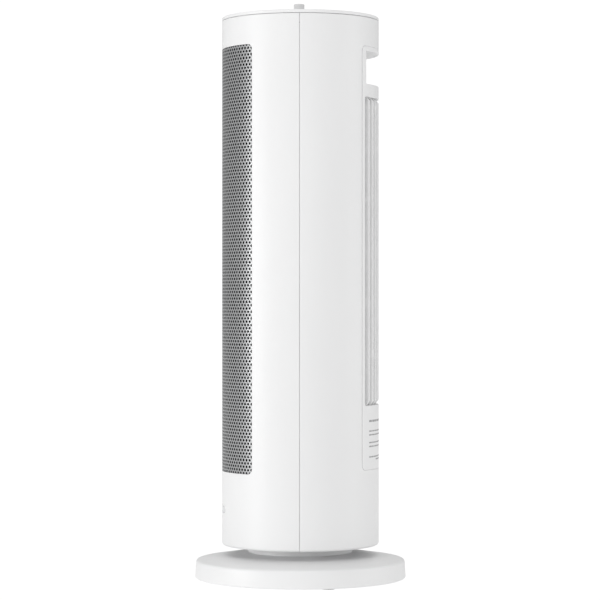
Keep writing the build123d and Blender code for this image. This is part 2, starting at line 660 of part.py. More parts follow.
save(ring(SPINDLE_R, 546.0, 571.0, 0, 0, KNOB_Y), "knob_spindle")
knob = ring(KNOB_R, KNOB_Z0, OVERALL_H)
knob = fillet(knob.edges().sort_by(Axis.Z)[-1], 0.6)
knob -= ring(SPINDLE_R, 560, 571.0)
flutes = [
    Rot(0, 0, 10.0 * i) * (Pos(KNOB_R + 0.18, 0, 0) * ring(0.38, KNOB_Z0 + 1.0, OVERALL_H - 1.4))
    for i in range(36)
]
knob = knob - flutes
knob -= Pos(0, -3.2, OVERALL_H) * Box(0.9, 3.0, 0.7)
save(Pos(0, KNOB_Y, 0) * knob, "control_knob")
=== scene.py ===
import bmesh
import bpy
import json
import math
import numpy as np
from mathutils import Matrix, Vector
from mathutils.geometry import delaunay_2d_cdt


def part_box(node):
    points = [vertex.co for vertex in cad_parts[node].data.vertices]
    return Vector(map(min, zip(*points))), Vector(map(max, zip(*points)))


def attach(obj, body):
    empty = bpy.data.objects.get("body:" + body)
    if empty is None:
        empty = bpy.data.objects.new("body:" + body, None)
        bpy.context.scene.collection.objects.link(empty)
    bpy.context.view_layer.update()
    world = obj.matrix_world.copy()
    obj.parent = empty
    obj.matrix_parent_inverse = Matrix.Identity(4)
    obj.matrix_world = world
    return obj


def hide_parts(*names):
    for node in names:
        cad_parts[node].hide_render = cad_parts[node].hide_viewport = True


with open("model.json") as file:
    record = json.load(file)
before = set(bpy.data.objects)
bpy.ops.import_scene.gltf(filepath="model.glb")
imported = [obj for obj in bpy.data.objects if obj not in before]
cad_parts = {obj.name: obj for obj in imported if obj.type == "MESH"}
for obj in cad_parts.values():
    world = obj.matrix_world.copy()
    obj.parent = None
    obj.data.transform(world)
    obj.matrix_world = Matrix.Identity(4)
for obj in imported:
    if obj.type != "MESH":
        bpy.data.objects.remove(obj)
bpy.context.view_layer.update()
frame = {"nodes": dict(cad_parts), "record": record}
nodes = frame["nodes"]
scene = bpy.context.scene

# ------------------------------------------------------------ sizes, in mm
MM = 1000.0
lo_f, hi_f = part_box("front_housing")
lo_r, hi_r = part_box("rear_housing")
R = hi_r.y * MM                      # radius of the housing wall
R = max(R, hi_f.x * MM)
SEAM = lo_r.y * MM * 0.42            # half of the gap between the halves
BZ0, BZ1 = lo_r.z * MM, hi_r.z * MM
WALL = 2.5
glo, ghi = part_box("front_grille")
GZ0, GZ1 = glo.z * MM - 0.1, ghi.z * MM + 0.1
G_HALF = 53.4
G_OUT, G_IN = R - 0.15, R - 0.5
plo, phi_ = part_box("rear_panel")
PZ0, PZ1 = plo.z * MM + 3.5, phi_.z * MM - 3.5
P_HALF = 39.0
llo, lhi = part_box("intake_louvre")
LZ0, LZ1 = llo.z * MM + 3.0, lhi.z * MM - 3.0
L_HALF = 35.0
clo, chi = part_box("grip_cup")
CX, CZ0, CZ1 = chi.x * MM - 2.0, clo.z * MM + 2.0, chi.z * MM - 2.0
wlo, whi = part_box("indicator_window")
WZ0, WZ1 = wlo.z * MM + 2.0, whi.z * MM - 2.0
W_HALF = 18.7
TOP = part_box("control_knob")[1].z * MM
KZ0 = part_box("control_knob")[0].z * MM
FRONT, REAR = -90.0, 90.0


# --------------------------------------------------------------- materials
def new_mat(name):
    m = bpy.data.materials.new(name)
    m.use_nodes = True
    nt = m.node_tree
    b = nt.nodes["Principled BSDF"]
    return m, nt, b


def noise(nt, coord, scale, detail=3.0, rough=0.5):
    n = nt.nodes.new("ShaderNodeTexNoise")
    n.inputs["Scale"].default_value = scale
    n.inputs["Detail"].default_value = detail
    n.inputs["Roughness"].default_value = rough
    nt.links.new(coord, n.inputs["Vector"])
    return n.outputs["Fac"]


def ramp(nt, fac, a, b, ca, cb):
    r = nt.nodes.new("ShaderNodeValToRGB")
    r.color_ramp.elements[0].position = a
    r.color_ramp.elements[1].position = b
    r.color_ramp.elements[0].color = (*ca, 1.0)
    r.color_ramp.elements[1].color = (*cb, 1.0)
    nt.links.new(fac, r.inputs["Fac"])
    return r.outputs["Color"]


def span(nt, fac, lo, hi, a=0.3, b=0.7):
    r = nt.nodes.new("ShaderNodeMapRange")
    r.inputs["From Min"].default_value = a
    r.inputs["From Max"].default_value = b
    r.inputs["To Min"].default_value = lo
    r.inputs["To Max"].default_value = hi
    nt.links.new(fac, r.inputs["Value"])
    return r.outputs["Result"]


def add(nt, a, b, k=1.0):
    n = nt.nodes.new("ShaderNodeMath")
    n.operation = "MULTIPLY_ADD"
    nt.links.new(b, n.inputs[0])
    n.inputs[1].default_value = k
    nt.links.new(a, n.inputs[2])
    return n.outputs[0]


def bump(nt, b, height, strength, distance):
    n = nt.nodes.new("ShaderNodeBump")
    n.inputs["Strength"].default_value = strength
    n.inputs["Distance"].default_value = distance
    nt.links.new(height, n.inputs["Height"])
    nt.links.new(n.outputs["Normal"], b.inputs["Normal"])


def moulded(name, c1, c2, rough, spread=0.06, grain=1500.0, strength=0.10, depth=0.00006, ior=1.48):
    """Injection-moulded plastic: faint shade drift, uneven sheen, spark-eroded grain."""
    m, nt, b = new_mat(name)
    tc = nt.nodes.new("ShaderNodeTexCoord").outputs["Object"]
    flow = nt.nodes.new("ShaderNodeMapping")
    flow.inputs["Scale"].default_value = (1.0, 1.0, 0.35)
    nt.links.new(tc, flow.inputs["Vector"])
    broad = noise(nt, flow.outputs["Vector"], 9.0, 4.0)
    nt.links.new(ramp(nt, broad, 0.32, 0.68, c1, c2), b.inputs["Base Color"])
    mid = noise(nt, tc, 70.0, 5.0, 0.6)
    nt.links.new(span(nt, mid, rough - spread / 2, rough + spread / 2), b.inputs["Roughness"])
    fine = noise(nt, tc, grain, 2.0, 0.5)
    soft = noise(nt, tc, 28.0, 2.0, 0.4)
    bump(nt, b, add(nt, fine, soft, 2.0), strength, depth)
    b.inputs["IOR"].default_value = ior
    return m


def metal(name, c1, c2, rough, stretch=(1, 1, 1), scale=260.0, metallic=1.0, strength=0.15):
    """Plain or plated steel and aluminium with drawing marks."""
    m, nt, b = new_mat(name)
    tc = nt.nodes.new("ShaderNodeTexCoord").outputs["Object"]
    mp = nt.nodes.new("ShaderNodeMapping")
    mp.inputs["Scale"].default_value = stretch
    nt.links.new(tc, mp.inputs["Vector"])
    g = noise(nt, mp.outputs["Vector"], scale, 6.0, 0.65)
    blot = noise(nt, tc, 45.0, 3.0)
    nt.links.new(ramp(nt, blot, 0.3, 0.7, c1, c2), b.inputs["Base Color"])
    nt.links.new(span(nt, g, rough - 0.08, rough + 0.1), b.inputs["Roughness"])
    bump(nt, b, g, strength, 0.00005)
    b.inputs["Metallic"].default_value = metallic
    return m


WHITE = moulded("white_shell", (0.835, 0.836, 0.838), (0.862, 0.863, 0.864), 0.40, 0.06, 1500.0, 0.09)
KNOBM = moulded("knob_plastic", (0.70, 0.70, 0.705), (0.735, 0.735, 0.74), 0.34, 0.05, 1800.0, 0.06)
GREY = moulded("grey_plastic", (0.74, 0.74, 0.75), (0.79, 0.79, 0.80), 0.55, 0.1, 900.0, 0.25)
BLACK = moulded("black_plastic", (0.003, 0.003, 0.0035), (0.006, 0.006, 0.0065), 0.8, 0.12, 700.0, 0.3)
FANM = moulded("impeller_plastic", (0.012, 0.012, 0.013), (0.02, 0.02, 0.022), 0.5, 0.1, 900.0, 0.2)
ACETAL = moulded("white_acetal", (0.74, 0.73, 0.69), (0.8, 0.79, 0.75), 0.33, 0.08, 1200.0, 0.05)
RUBBER = moulded("rubber", (0.40, 0.40, 0.40), (0.48, 0.48, 0.475), 0.82, 0.1, 800.0, 0.5)
STEEL = metal("motor_steel", (0.42, 0.43, 0.44), (0.55, 0.56, 0.57), 0.38, (1, 1, 0.06))
ZINC = metal("zinc_steel", (0.5, 0.52, 0.54), (0.64, 0.65, 0.66), 0.42, (1, 1, 1), 120.0, 0.9)
SCREW = metal("screw_steel", (0.45, 0.45, 0.46), (0.6, 0.6, 0.6), 0.32, (1, 1, 4), 500.0)
BRONZE = metal("bronze", (0.42, 0.25, 0.12), (0.55, 0.36, 0.18), 0.5, (1, 1, 1), 1500.0)
FIN = metal("fin_aluminium", (0.28, 0.285, 0.29), (0.36, 0.36, 0.365), 0.4, (1, 0.1, 1), 400.0)


def grille_material():
    """Silver-grey enamel on perforated steel: fine flake, orange peel."""
    m, nt, b = new_mat("grille_paint")
    tc = nt.nodes.new("ShaderNodeTexCoord").outputs["Object"]
    flake = noise(nt, tc, 5200.0, 1.0)
    nt.links.new(ramp(nt, flake, 0.35, 0.7, (0.35, 0.355, 0.36), (0.45, 0.455, 0.46)), b.inputs["Base Color"])
    peel = noise(nt, tc, 420.0, 2.0)
    nt.links.new(span(nt, peel, 0.30, 0.44), b.inputs["Roughness"])
    bump(nt, b, peel, 0.12, 0.00008)
    b.inputs["Metallic"].default_value = 0.7
    return m


def lens_material():
    m, nt, b = new_mat("lens")
    tc = nt.nodes.new("ShaderNodeTexCoord").outputs["Object"]
    n = noise(nt, tc, 120.0, 3.0)
    nt.links.new(ramp(nt, n, 0.3, 0.7, (0.66, 0.67, 0.68), (0.71, 0.72, 0.73)), b.inputs["Base Color"])
    nt.links.new(span(nt, n, 0.13, 0.2), b.inputs["Roughness"])
    bump(nt, b, noise(nt, tc, 900.0, 1.0), 0.03, 0.00005)
    b.inputs["IOR"].default_value = 1.5
    return m


def pcb_material():
    m, nt, b = new_mat("circuit_board")
    tc = nt.nodes.new("ShaderNodeTexCoord").outputs["Object"]
    br = nt.nodes.new("ShaderNodeTexBrick")
    br.inputs["Scale"].default_value = 240.0
    br.inputs["Mortar Size"].default_value = 0.03
    br.inputs["Color1"].default_value = (0.012, 0.10, 0.035, 1)
    br.inputs["Color2"].default_value = (0.016, 0.13, 0.045, 1)
    br.inputs["Mortar"].default_value = (0.03, 0.2, 0.07, 1)
    nt.links.new(tc, br.inputs["Vector"])
    nt.links.new(br.outputs["Color"], b.inputs["Base Color"])
    n = noise(nt, tc, 300.0, 3.0)
    nt.links.new(span(nt, n, 0.25, 0.45), b.inputs["Roughness"])
    bump(nt, b, br.outputs["Fac"], 0.3, 0.00005)
    return m


def ceramic_material():
    m, nt, b = new_mat("ptc_ceramic")
    tc = nt.nodes.new("ShaderNodeTexCoord").outputs["Object"]
    n = noise(nt, tc, 700.0, 6.0, 0.7)
    nt.links.new(ramp(nt, n, 0.35, 0.65, (0.6, 0.57, 0.5), (0.72, 0.7, 0.64)), b.inputs["Base Color"])
    nt.links.new(span(nt, n, 0.5, 0.75), b.inputs["Roughness"])
    bump(nt, b, n, 0.3, 0.0001)
    return m


def ink_material():
    m, nt, b = new_mat("print_ink")
    tc = nt.nodes.new("ShaderNodeTexCoord").outputs["Object"]
    n = noise(nt, tc, 1600.0, 3.0)
    nt.links.new(ramp(nt, n, 0.3, 0.7, (0.31, 0.31, 0.315), (0.39, 0.39, 0.395)), b.inputs["Base Color"])
    nt.links.new(span(nt, n, 0.45, 0.6), b.inputs["Roughness"])
    bump(nt, b, n, 0.08, 0.00002)
    return m


GRILLE, LENS, PCB, CERAMIC, INK = (
    grille_material(), lens_material(), pcb_material(), ceramic_material(), ink_material()
)
BY_SLOT = {
    "white_shell": WHITE, "knob_plastic": KNOBM, "grey_plastic": GREY, "black_plastic": BLACK,
    "impeller_plastic": FANM, "white_acetal": ACETAL, "rubber": RUBBER, "grille_paint": GRILLE,
    "lens": LENS, "circuit_board": PCB, "motor_steel": STEEL, "zinc_steel": ZINC,
    "screw_steel": SCREW, "bronze": BRONZE, "ptc_ceramic": CERAMIC, "fin_aluminium": FIN,
}
for sub in frame["record"]["subparts"]:
    ob = nodes[sub["node"]]
    mat = BY_SLOT[sub["material_slot"]]
    if not ob.material_slots:
        ob.data.materials.append(mat)
    for s in ob.material_slots:
        s.material = mat


# ------------------------------------------------------------- mesh helpers
def make(name, verts, faces, body, mat, replaces=(), sharp=50.0):
    """A piece from points in mm."""
    me = bpy.data.meshes.new(name)
    me.from_pydata([tuple(c / MM for c in v) for v in verts], [], [tuple(f) for f in faces])
    me.validate()
    bm = bmesh.new()
    bm.from_mesh(me)
    bmesh.ops.remove_doubles(bm, verts=bm.verts, dist=1e-7)
    bmesh.ops.dissolve_degenerate(bm, dist=1e-7, edges=bm.edges)
    bmesh.ops.recalc_face_normals(bm, faces=bm.faces)
    bm.to_mesh(me)
    bm.free()
    for p in me.polygons:
        p.use_smooth = True
    me.set_sharp_from_angle(angle=math.radians(sharp))
    me.materials.append(mat)
    ob = bpy.data.objects.new(name, me)
    scene.collection.objects.link(ob)
    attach(ob, body)
    if replaces:
        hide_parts(*replaces)
    return ob


def rounded(points, radii, seg=6, closed=True):
    """Round a polyline's corners. radii: one for each point, 0 for sharp."""
    out, n = [], len(points)
    for i, (p, r) in enumerate(zip(points, radii)):
        if r <= 0 or (not closed and i in (0, n - 1)):
            out.append(tuple(p))
            continue
        p = np.array(p, float)
        a = np.array(points[i - 1], float) - p
        b = np.array(points[(i + 1) % n], float) - p
        a /= np.linalg.norm(a)
        b /= np.linalg.norm(b)
        half = math.acos(max(-1, min(1, float(a @ b)))) / 2
        d = r / math.tan(half)
        bis = (a + b) / np.linalg.norm(a + b)
        c = p + bis * r / math.sin(half)
        s, e = p + a * d - c, p + b * d - c
        a0 = math.atan2(s[1], s[0])
        a1 = math.atan2(e[1], e[0])
        da = (a1 - a0 + math.pi) % (2 * math.pi) - math.pi
        for k in range(seg + 1):
            t = a0 + da * k / seg
            out.append((c[0] + r * math.cos(t), c[1] + r * math.sin(t)))
    return out


def lathe(profile, n, wave=None, centre=(0.0, 0.0)):
    """Closed (r, z) profile turned about a vertical axis."""
    verts, faces, ids = [], [], []
    for r, z in profile:
        if r < 1e-6:
            ids.append([len(verts)] * n)
            verts.append((centre[0], centre[1], z))
        else:
            row = []
            for i in range(n):
                a = 2 * math.pi * i / n
                rr_ = r if wave is None else wave(r, z, a)
                row.append(len(verts))
                verts.append((centre[0] + rr_ * math.cos(a), centre[1] + rr_ * math.sin(a), z))
            ids.append(row)
    m = len(profile)
    for j in range(m):
        u, v = ids[j], ids[(j + 1) % m]
        for i in range(n):
            k = (i + 1) % n
            f = []
            for q in (u[i], u[k], v[k], v[i]):
                if q not in f:
                    f.append(q)
            if len(f) > 2:
                faces.append(f)
    return verts, faces


def sdf(s, w, hw, w0, w1, rad):
    """Signed distance to a rounded rectangle centred on s = 0."""
    qx = np.abs(s) - (hw - rad)
    qy = np.abs(w - (w0 + w1) / 2) - ((w1 - w0) / 2 - rad)
    return np.hypot(np.maximum(qx, 0), np.maximum(qy, 0)) + np.minimum(np.maximum(qx, qy), 0) - rad


def rr_loop(hw, w0, w1, rad, off, cols, rows, seg=6):
    """Outline of a rounded rectangle grown by off, with points at cols and rows on its straight sides."""
    h, b0, b1, r = hw + off, w0 - off, w1 + off, max(rad + off, 0.02)
    m = rad + max(off, 0)
    mid_c = [c for c in cols if -hw + rad + 0.4 < c < hw - rad - 0.4]
    mid_r = [q for q in rows if w0 + rad + 0.4 < q < w1 - rad - 0.4]
    pts = []
    corners = ((h - r, b1 - r, 0), (-h + r, b1 - r, 90), (-h + r, b0 + r, 180), (h - r, b0 + r, 270))
    for k, (cx, cy, a) in enumerate(corners):
        for i in range(seg + 1):
            t = math.radians(a + 90 * i / seg)
            pts.append((cx + r * math.cos(t), cy + r * math.sin(t)))
        if k == 0:
            pts += [(c, b1) for c in reversed(mid_c)]
        elif k == 1:
            pts += [(-h, q) for q in reversed(mid_r)]
        elif k == 2:
            pts += [(c, b0) for c in mid_c]
        else:
            pts += [(h, q) for q in mid_r]
    return pts


def sheet_mesh(outer, holes, cols, rows, outside, inside, edge=0.3, support=0.7, straight=()):
    """A curved plate. outer and holes are (half width, low, high, corner radius) on
    the unrolled surface. outside(s, w, drop) and inside(s, w, x) give points."""
    quarter = [(edge * (1 - math.cos(math.radians(t))), edge * (1 - math.sin(math.radians(t)))) for t in (0, 30, 60, 90)]
    steps = [(a, d) for a, d in quarter] + [(edge + support, 0.0)]
    pts, drops, owner, cons = [], [], [], []

    def add_loop(loop, drop, own):
        base = len(pts)
        pts.extend(loop)
        drops.extend([drop] * len(loop))
        owner.extend([own] * len(loop))
        cons.extend([(base + i, base + (i + 1) % len(loop)) for i in range(len(loop))])

    for off, drop in steps:
        add_loop(rr_loop(*outer, -off, cols, rows), drop, -1)
    for h, hole in enumerate(holes):
        for off, drop in steps:
            add_loop(rr_loop(*hole, off, cols, rows), drop, h)
    gs, gw = np.meshgrid(np.array(cols, float), np.array(rows, float))
    gs, gw = gs.ravel(), gw.ravel()
    clear = edge + support + 0.35
    keep = sdf(gs, gw, *outer) < -clear
    for hole in holes:
        keep &= sdf(gs, gw, *hole) > clear
    for s, w in zip(gs[keep], gw[keep]):
        pts.append((float(s), float(w)))
        drops.append(0.0)
        owner.append(-2)
    v2, _e, tris, orig, _a, _b = delaunay_2d_cdt([Vector(p) for p in pts], cons, [], 0, 1e-5, True)
    P = np.array([tuple(v) for v in v2])
    D = [drops[o[0]] if o else 0.0 for o in orig]
    O = [owner[o[0]] if o else -2 for o in orig]
    T = np.array([t for t in tris if len(t) == 3])
    C = P[T].mean(axis=1)
    ok = sdf(C[:, 0], C[:, 1], *outer) < 0
    for hole in holes:
        ok &= sdf(C[:, 0], C[:, 1], *hole) > 0
    area = np.abs(np.cross(P[T[:, 1]] - P[T[:, 0]], P[T[:, 2]] - P[T[:, 0]])) / 2
    ok &= area > 1e-7
    T = T[ok]
    used = sorted(set(T.ravel().tolist()))
    new = {u: i for i, u in enumerate(used)}
    verts = [outside(P[u][0], P[u][1], D[u]) for u in used]
    n = len(verts)
    verts += [
        inside(P[u][0], P[u][1], verts[i][0] if O[u] in straight else None) for i, u in enumerate(used)
    ]
    faces, edges = [], {}
    for t in T:
        a, b, c = (new[int(q)] for q in t)
        faces.append((a, b, c))
        faces.append((a + n, c + n, b + n))
        for e in ((a, b), (b, c), (c, a)):
            edges[e] = edges.get(e, 0) + 1
    for (a, b) in edges:
        if (b, a) not in edges:
            faces.append((b, a, a + n, b + n))
    return verts, faces


def wrap(mid, r_of, flip=1.0):
    """Mapper from the unrolled surface, at radius R, to the cylinder."""
    def f(s, w, drop=0.0):
        a = math.radians(mid) + flip * s / R
        r = r_of - drop
        return (r * math.cos(a), r * math.sin(a), w)
    return f


def inner_wrap(mid, r_in):
    def f(s, w, x=None):
        a = math.radians(mid) + s / R
        if x is not None:
            sign = 1.0 if math.sin(math.radians(mid)) > 0 else -1.0
            return (x, sign * math.sqrt(r_in * r_in - x * x), w)
        return (r_in * math.cos(a), r_in * math.sin(a), w)
    return f


def arc_box(mid, half, z0, z1, r0, r1, n=8):
    """A plain curved bar."""
    verts, faces = [], []
    for i in range(n + 1):
        a = math.radians(mid - half + 2 * half * i / n)
        for r, z in ((r0, z0), (r1, z0), (r1, z1), (r0, z1)):
            verts.append((r * math.cos(a), r * math.sin(a), z))
    for i in range(n):
        for k in range(4):
            a, b = 4 * i + k, 4 * i + (k + 1) % 4
            faces.append((a, b, b + 4, a + 4))
    faces.append((0, 1, 2, 3))
    faces.append(tuple(4 * n + k for k in (3, 2, 1, 0)))
    return verts, faces


def grid(a, b, step):
    n = max(1, int(math.ceil((b - a) / step)))
    return [a + (b - a) * i / n for i in range(n + 1)]


def arc(deg):
    return math.radians(deg) * R


def merge(parts):
    verts, faces = [], []
    for v, f in parts:
        k = len(verts)
        verts += v
        faces += [tuple(i + k for i in q) for q in f]
    return verts, faces


# ------------------------------------------------------------ housing halves
RB, RT = 2.4, 0.4
W_ARC_B = math.pi / 2 * RB
W_ARC_T = math.pi / 2 * RT
W_LIP = R - RB - 73.8
W_TOP = R - RT - (R - WALL + 0.4)
w_low = BZ0 + RB - W_ARC_B - W_LIP
w_high = BZ1 - RT + W_ARC_T + W_TOP


def housing_profile(w):
    """(r, z, outward r, outward z) along the wall, from the bottom lip to the top edge."""
    if w < BZ0 + RB - W_ARC_B:
        return (R - RB) - (BZ0 + RB - W_ARC_B - w), BZ0, 0.0, -1.0
    if w < BZ0 + RB:
        t = (BZ0 + RB - w) / RB
        return R - RB + RB * math.cos(t), BZ0 + RB - RB * math.sin(t), math.cos(t), -math.sin(t)
    if w <= BZ1 - RT:
        return R, w, 1.0, 0.0
    if w <= BZ1 - RT + W_ARC_T:
        t = (w - (BZ1 - RT)) / RT
        return R - RT + RT * math.cos(t), BZ1 - RT + RT * math.sin(t), math.cos(t), math.sin(t)
    return R - RT - (w - (BZ1 - RT + W_ARC_T)), BZ1, 0.0, 1.0


def housing_maps(mid):
    def outside(s, w, drop):
        r, z, nr, nz = housing_profile(w)
        a = math.radians(mid) + s / R
        r, z = r - drop * nr, z - drop * nz
        return (r * math.cos(a), r * math.sin(a), z)

    def inside(s, w, _x):
        a = math.radians(mid) + s / R
        if w < BZ0 + RB:
            t = (BZ0 + RB - w) / (BZ0 + RB - w_low)
            r, z = R - WALL - t * (R - WALL - 73.8), BZ0 + 2.5
        elif w > BZ1 - RT:
            r, z = R - WALL, BZ1 - RT + (w - BZ1 + RT) / (w_high - BZ1 + RT) * RT
        else:
            r, z = R - WALL, max(w, BZ0 + 2.5)
        return (r * math.cos(a), r * math.sin(a), z)

    return outside, inside


rows_h = (
    [w_low + 0.5, w_low + 1.3]
    + grid(BZ0 + RB - W_ARC_B, BZ0 + RB, 0.63)
    + grid(BZ0 + RB + 0.8, BZ1 - RT - 0.8, 11.0)
    + grid(BZ1 - RT, BZ1 - RT + W_ARC_T, 0.21)
    + [w_high - 0.8]
)
half_w = arc(90.0) - SEAM
cols_h = grid(-half_w, half_w, 2.6)
for name, mid, holes in (
    ("front_housing", FRONT, [(arc(G_HALF), GZ0, GZ1, 5.5), (arc(W_HALF), WZ0, WZ1, (WZ1 - WZ0) / 2 - 0.05)]),
    ("rear_housing", REAR, [(arc(P_HALF), PZ0, PZ1, 5.5)]),
):
    outside, inside = housing_maps(mid)
    v, f = sheet_mesh((half_w, w_low, w_high, 0.05), holes, cols_h, rows_h, outside, inside, edge=0.28, support=0.6)
    parts = [(v, f)]
    if mid == FRONT:   # the lap behind each seam
        for side in (0.0, 180.0):
            tilt = 2.6 if side == 0.0 else -2.6
            parts.append(arc_box(side - tilt * 0.35, 3.6, 41.0, 547.0, 73.9, R - WALL - 0.22, 6))
    v, f = merge(parts)
    make(name + "_skin", v, f, "tower", WHITE, (name,))

# ----------------------------------------------------------------- top cover
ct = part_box("top_cover")
cz0 = BZ1 + 0.45
dome = DOME = ct[1].z * MM
rim_z = 559.8 if abs(dome - 563.4) < 1.0 else dome - 3.6
arc_pts = [(4.3 + (R - 3.4 - 4.3) * i / 16) for i in range(17)]
sag = lambda r: dome - (dome - rim_z) * (r / (R - 0.9)) ** 1.9
top_line = [(r, sag(r)) for r in arc_pts]
edge_line = rounded(
    [(R - 3.0, sag(R - 3.0)), (R, rim_z + 0.02), (R, cz0), (75.6, cz0), (75.6, ct[0].z * MM), (73.4, ct[0].z * MM), (73.4, 557.3)],
    [0, 0.95, 0.18, 0.1, 0.2, 0.2, 0], 6, closed=False,
)
under_line = [(r, sag(r) - 2.5) for r in reversed(arc_pts) if r < 72.5]
v, f = lathe(top_line + edge_line + under_line, 192)
spindle_y = sum(c.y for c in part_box("knob_spindle")) / 2 * MM
v = [(x, y + spindle_y * max(0.0, min(1.0, (30.0 - math.hypot(x, y)) / 24.0)), z) for x, y, z in v]
make("top_cover_skin", v, f, "tower", WHITE, ("top_cover",), 40.0)

# ------------------------------------------------------------- front grille
def grille():
    pitch_z, pitch_a, rad, sides = 3.217, 3.024, 1.36, 9
    hw, z0, z1, cr = arc(G_HALF) - 0.1, GZ0 + 0.1, GZ1 - 0.1, 5.4
    outer = (hw, z0, z1, cr)
    cols = grid(-hw, hw, 2.6)
    rows = grid(z0, z1, 6.0)
    loop = rr_loop(*outer, 0.0, cols, rows)
    pts = list(loop)
    cons = [(i, (i + 1) % len(loop)) for i in range(len(loop))]
    centres, ang = [], np.arange(sides) * 2 * math.pi / sides + 0.2
    k = 0
    z = z0 + 0.9
    da = arc(pitch_a)
    while z < z1 + rad:
        shift = 0.5 if k % 2 else 0.0
        m = int(hw / da) + 2
        for j in range(-m, m + 1):
            s = (j + shift) * da
            if sdf(np.array([s]), np.array([z]), *outer)[0] < rad * 0.72:
                centres.append((s, z))
        z += pitch_z
        k += 1
    for s, z in centres:
        base = len(pts)
        pts.extend([(s + rad * math.cos(a), z + rad * math.sin(a)) for a in ang])
        cons.extend([(base + i, base + (i + 1) % sides) for i in range(sides)])
    v2, _e, tris, _o, _a, _b = delaunay_2d_cdt([Vector(p) for p in pts], cons, [], 0, 1e-5, False)
    P = np.array([tuple(v) for v in v2])
    T = np.array([t for t in tris if len(t) == 3])
    C = P[T].mean(axis=1)
    ok = sdf(C[:, 0], C[:, 1], *outer) < -1e-4
    cen = np.array(centres)
    row_k = np.rint((C[:, 1] - (z0 + 0.9)) / pitch_z).astype(int)
    inside = np.zeros(len(C), bool)
    apothem = rad * math.cos(math.pi / sides)
    for dk in (-1, 0, 1):
        kk = row_k + dk
        zc = z0 + 0.9 + kk * pitch_z
        sh = np.where(kk % 2 == 1, 0.5, 0.0)
        j = np.rint(C[:, 0] / da - sh)
        sc = (j + sh) * da
        dx, dz = C[:, 0] - sc, C[:, 1] - zc
        real = sdf(sc, zc, *outer) < rad * 0.72
        real &= (zc < z1 + rad) & (kk >= 0)
        far = np.full(len(C), -1e9)
        for a in ang + math.pi / sides:
            far = np.maximum(far, dx * math.cos(a) + dz * math.sin(a))
        inside |= real & (far < apothem)
    T = T[ok & ~inside]
    area = np.abs(np.cross(P[T[:, 1]] - P[T[:, 0]], P[T[:, 2]] - P[T[:, 0]])) / 2
    T = T[area > 1e-6]
    used = np.unique(T)
    new = np.full(len(P), -1)
    new[used] = np.arange(len(used))
    T = new[T]
    P = P[used]
    a = math.radians(FRONT) + P[:, 0] / R
    n = len(P)
    verts = [(G_OUT * math.cos(t), G_OUT * math.sin(t), w) for t, w in zip(a, P[:, 1])]
    verts += [(G_IN * math.cos(t), G_IN * math.sin(t), w) for t, w in zip(a, P[:, 1])]
    faces = [tuple(t) for t in T.tolist()] + [(t[0] + n, t[2] + n, t[1] + n) for t in T.tolist()]
    edges = set()
    for t in T.tolist():
        for e in ((t[0], t[1]), (t[1], t[2]), (t[2], t[0])):
            edges.add(e)
    for (p, q) in edges:
        if (q, p) not in edges:
            faces.append((q, p, p + n, q + n))
    return verts, faces


v, f = grille()
make("perforated_grille", v, f, "tower", GRILLE, ("front_grille",), 45.0)

# --------------------------------------------------------- indicator window
cols_w = grid(-arc(W_HALF), arc(W_HALF), 1.6)
v, f = sheet_mesh(
    (arc(W_HALF) - 0.15, WZ0 + 0.15, WZ1 - 0.15, (WZ1 - WZ0) / 2 - 0.25), [], cols_w, grid(WZ0, WZ1, 1.1),
    wrap(FRONT, R - 0.15), inner_wrap(FRONT, R - 2.7), edge=0.25, support=0.3,
)
make("indicator_window_lens", v, f, "tower", LENS, ("indicator_window",))

# --------------------------------------------------------------- rear panel
gap = 0.45
cols_p = grid(-arc(P_HALF), arc(P_HALF), 2.4)
rows_p = grid(PZ0, PZ1, 9.0)
ca = math.asin(CX / R) * R
panel = sheet_mesh(
    (arc(P_HALF) - 1.0, PZ0 + 0.12, PZ1 - 0.06, 5.0),
    [(arc(L_HALF), LZ0, LZ1, 2.0), (ca, CZ0, CZ1, 0.9)],
    cols_p, rows_p, wrap(REAR, R - 0.05), inner_wrap(REAR, R - 2.9), edge=0.4, support=0.7, straight=(1,),
)
flange = sheet_mesh(
    (arc(P_HALF + 3.2), PZ0 - 3.5, PZ1 + 3.5, 7.0), [(arc(P_HALF - 0.3), PZ0 + 4.5, PZ1 - 2.0, 4.0)],
    grid(-arc(P_HALF + 3.2), arc(P_HALF + 3.2), 3.0), grid(PZ0 - 3.5, PZ1 + 3.5, 20.0),
    wrap(REAR, R - WALL - 0.25), inner_wrap(REAR, 73.6), edge=0.15, support=0.5,
)
v, f = merge([panel, flange])
make("rear_panel_skin", v, f, "tower", WHITE, ("rear_panel",))

# ------------------------------------------------------------ intake louvre
def bevelled_prism(side, width, ang, size, seg=2):
    """A bar whose (r, z) outline stands on the axis, turned to ang degrees."""
    bm = bmesh.new()
    a = [bm.verts.new((r, -width / 2, z)) for r, z in side]
    b = [bm.verts.new((r, width / 2, z)) for r, z in side]
    bm.faces.new(a[::-1])
    bm.faces.new(b)
    n = len(side)
    for i in range(n):
        k = (i + 1) % n
        bm.faces.new((a[i], a[k], b[k], b[i]))
    bmesh.ops.recalc_face_normals(bm, faces=bm.faces)
    bmesh.ops.bevel(bm, geom=bm.edges[:], offset=size, segments=seg, profile=0.5, affect="EDGES")
    c, s = math.cos(math.radians(ang)), math.sin(math.radians(ang))
    bm.verts.index_update()
    verts = [(v.co.x * c - v.co.y * s, v.co.x * s + v.co.y * c, v.co.z) for v in bm.verts]
    faces = [tuple(v.index for v in f.verts) for f in bm.faces]
    bm.free()
    return verts, faces


